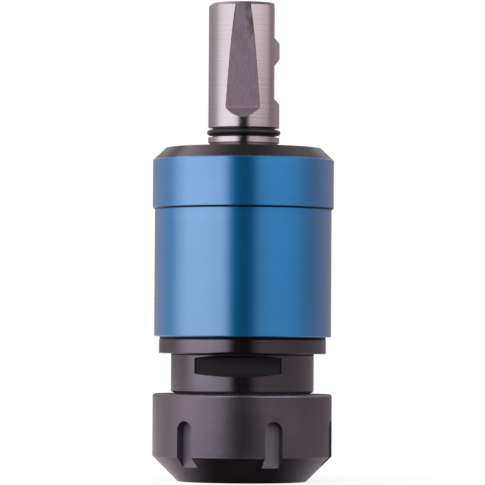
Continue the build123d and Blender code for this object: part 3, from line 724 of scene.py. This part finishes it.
def floor_paper(settings):
    """Pale paper that keeps the shadow near the object, turns to the background's white further out, and
    shows metal a painted glow.
    """
    paper = Finish("pale_floor", Roughness=0.9, Specular_IOR_Level=0.1)
    room = settings.room_light
    path = paper.node("ShaderNodeLightPath").outputs
    glossy = path["Is Glossy Ray"]
    seen = paper.maths("MAXIMUM", path["Is Camera Ray"], path["Is Transmission Ray"])
    # Metal sees no lit paper, only the painted glow that follows
    tone = paper.between(paper.noise(paper.place, 0.02), 0.3, 0.7, 0.985, 1.0)
    tint = paper.times(paper.maths("SUBTRACT", 1.0, glossy), tone)
    paper.set("Base Color", paper.shade(settings.floor_colour, tint))
    # Painted reflection: the light and shade that metal mirrors of the floor are painted as a glow, near the
    # object and far from it, on either side of the camera
    angle = paper.angle_from(settings.camera_side)
    near_left = paper.between(angle, radians(-95), radians(-22), room * 1.7, 0.03)
    near_right = paper.between(angle, radians(25), radians(95), 0.0, room)
    far_left = paper.between(angle, radians(-70), radians(-16), room * 2.1, 0.03)
    outwards = paper.between(paper.radius, 900.0, 1500.0, room * 0.5, room)
    far_right = paper.times(paper.between(angle, radians(8), radians(34)), outwards)
    near, far = paper.maths("ADD", near_left, near_right), paper.maths("ADD", far_left, far_right)
    painted_reflection = paper.blend_value(paper.between(paper.radius, 110.0, 240.0), near, far)
    paper.set("Emission Color", DIM)
    paper.set("Emission Strength", paper.times(glossy, painted_reflection))
    # What the camera sees: lit paper with a glow in its shadows, then plain white
    strength = paper.times(seen, settings.floor_glow)
    glow = paper.node("ShaderNodeEmission", {"Color": (1.0, 1.0, 1.0), "Strength": strength})
    lit_paper = paper.node("ShaderNodeAddShader", {0: paper.shader.outputs[0], 1: glow.outputs[0]})
    white = paper.node("ShaderNodeEmission", {"Color": (1.0, 1.0, 1.0), "Strength": 1.0})
    faded = paper.times(seen, paper.between(paper.radius, 80.0, 300.0))
    mixed = paper.node("ShaderNodeMixShader", {0: faded, 1: lit_paper.outputs[0], 2: white.outputs[0]})
    out = next(node for node in paper.tree.nodes if node.type == "OUTPUT_MATERIAL")
    paper.put(out.inputs["Surface"], mixed.outputs[0])
    return paper


class Studio(bpy.types.Operator):
    """Set up the floor, the background, the lights and the camera"""

    bl_idname = "tapping_head.studio"
    bl_label = "Studio"

    def execute(self, context):
        settings = context.scene.tapping_head_studio
        self.add_floor(settings)
        self.add_background(settings)
        self.add_softboxes(settings)
        self.add_tent(settings)
        self.add_camera(settings)
        context.scene.view_settings.view_transform = "Standard"
        return {"FINISHED"}

    def add_softboxes(self, settings):
        """Two soft lamps, left and right of the camera, that light what isn't a mirror."""
        add_softbox(
            "left_softbox", settings.camera_side - radians(54), distance=1.1, width=1.91, height=1.5,
            radiance=settings.left_light, colour=(1.0, 0.96, 0.99),
        )
        add_softbox(
            "right_softbox", settings.camera_side + radians(55), distance=1.2, width=1.80, height=1.5,
            radiance=settings.right_light, colour=(1.0, 0.95, 0.97),
        )

    def add_tent(self, settings):
        """A light tent round the table, for the metal to mirror: a wall, and a roof that is dark overhead."""
        reach, height, hem = 1.9, 1.8, -0.02
        side, left, right = settings.camera_side, settings.left_light, settings.right_light
        room = settings.room_light
        cloth = tent_cloth("tent_wall_cloth")
        foot = tent_light(cloth, side, left * 1.30, right * 0.52, room * 0.7)
        low = tent_light(cloth, side, left * 1.34, right * 0.34, room * 0.7)
        high = tent_light(cloth, side, left * 0.68, right * 2.0, room)
        # The housing's rough dye gathers this light, and little else mirrors it towards the camera
        upper = tent_light(
            cloth, side, left * 1.15, right * 4.7, room * 1.5, edges=(-19, -11, 12, 21), rim=2.1,
            tints=((1.0, 1.12, 0.96), (1.0, 1.0, 1.05), (0.95, 1.05, 1.10)),
        )
        # Each zone takes over from the one under it between two heights in millimetres
        wall = foot
        for begins, full, zone in ((45.0, 70.0, low), (232.0, 285.0, high), (450.0, 650.0, upper)):
            wall = cloth.mix(cloth.between(cloth.z, begins, full), wall, zone)
        cloth.set("Emission Color", wall)
        cloth.set("Emission Strength", cloth.between(cloth.z, 900.0, 1750.0, 1.0, 0.4))
        add_tent_piece("tent_wall", turned_surface("tent_wall", [reach, reach], [hem, height]), cloth)
        cloth = tent_cloth("tent_roof_cloth")
        cloth.set("Emission Color", DIM)
        outwards = cloth.between(cloth.radius, 300.0, 1500.0, 0.02, room, "LINEAR")
        to_the_left = cloth.between(cloth.x, -900.0, 200.0, 2.6, 1.0)
        cloth.set("Emission Strength", cloth.times(outwards, to_the_left))
        add_tent_piece("tent_roof", turned_surface("tent_roof", [0.01, reach], [height, height]), cloth)

    def add_floor(self, settings):
        """A round floor of pale paper, which stays under the clamping nut."""
        mesh = turned_surface("floor", [3.0, 0.6, 0.2, 0.0], [0.0, 0.0, 0.0, 0.0], steps=48)
        mesh.materials.append(floor_paper(settings).material)
        floor = add_object("floor", mesh)
        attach(floor, "collet_stack")

    def add_background(self, settings):
        """A world that looks white to the eye and through glass, and gives other surfaces a low fill."""
        world = bpy.data.worlds.new("white_background")
        bpy.context.scene.world = world
        world.use_nodes = True
        nodes, links = world.node_tree.nodes, world.node_tree.links
        path = nodes.new("ShaderNodeLightPath").outputs
        reflected, white = (nodes.new("ShaderNodeMapRange") for _ in range(2))
        links.new(path["Is Glossy Ray"], reflected.inputs["Value"])
        reflected.inputs["To Min"].default_value = settings.fill_light
        reflected.inputs["To Max"].default_value = settings.room_light
        seen = nodes.new("ShaderNodeMath")
        seen.operation = "MAXIMUM"
        links.new(path["Is Camera Ray"], seen.inputs[0])
        links.new(path["Is Transmission Ray"], seen.inputs[1])
        links.new(seen.outputs[0], white.inputs["Value"])
        links.new(reflected.outputs[0], white.inputs["To Min"])
        background = nodes["Background"].inputs
        background["Color"].default_value = (1.0, 1.0, 1.0, 1.0)
        links.new(white.outputs[0], background["Strength"])

    def add_camera(self, settings):
        """The camera at the photograph's angle, which looks slightly up from just above the nut."""
        lens = bpy.data.cameras.new("camera")
        lens.lens = settings.lens
        lens.sensor_width = 36.0
        lens.clip_start, lens.clip_end = 0.01, 20.0
        camera = add_object("camera", lens)
        camera.location = round_the_axis(
            settings.camera_side, settings.camera_distance, settings.camera_height
        )
        turn = settings.camera_side + settings.camera_yaw
        aim = Euler((radians(90) + settings.camera_pitch, 0, turn)).to_matrix()
        roll = Matrix.Rotation(settings.camera_roll, 3, "Z")
        camera.rotation_euler = (aim @ roll).to_euler()
        bpy.context.scene.camera = camera


class TappingHeadPanel(bpy.types.Panel):
    """Lists the operators and their sizes"""

    bl_idname = "VIEW3D_PT_tapping_head"
    bl_label = "Tapping Head"
    bl_space_type = "VIEW_3D"
    bl_region_type = "UI"
    bl_category = "Tapping Head"

    def draw(self, context):
        layout = self.layout
        for operator in OPERATORS:
            layout.operator(operator.bl_idname)
        for group in GROUPS:
            settings = getattr(context.scene, group)
            box = layout.box()
            for name in settings.__annotations__:
                box.prop(settings, name)


GROUPS = {
    "tapping_head_thread": ThreadSizes,
    "tapping_head_colours": FinishColours,
    "tapping_head_studio": StudioSettings,
}
OPERATORS = (
    HousingFinish, ShankFinish, OxideFinish, SealFinish, InnerFinish, SpindleThread, NutThread, Studio
)


def register():
    for group in GROUPS.values():
        bpy.utils.register_class(group)
    for operator in OPERATORS:
        bpy.utils.register_class(operator)
    bpy.utils.register_class(TappingHeadPanel)
    for name, group in GROUPS.items():
        setattr(bpy.types.Scene, name, PointerProperty(type=group))


def unregister():
    for name in GROUPS:
        delattr(bpy.types.Scene, name)
    bpy.utils.unregister_class(TappingHeadPanel)
    for operator in reversed(OPERATORS):
        bpy.utils.unregister_class(operator)
    for group in reversed(GROUPS.values()):
        bpy.utils.unregister_class(group)


def main():
    register()
    bpy.ops.tapping_head.housing_finish()
    bpy.ops.tapping_head.shank_finish()
    bpy.ops.tapping_head.oxide_finish()
    bpy.ops.tapping_head.seal_finish()
    bpy.ops.tapping_head.inner_finish()
    bpy.ops.tapping_head.spindle_thread()
    bpy.ops.tapping_head.nut_thread()
    bpy.ops.tapping_head.studio()


if __name__ == "__main__":
    main()
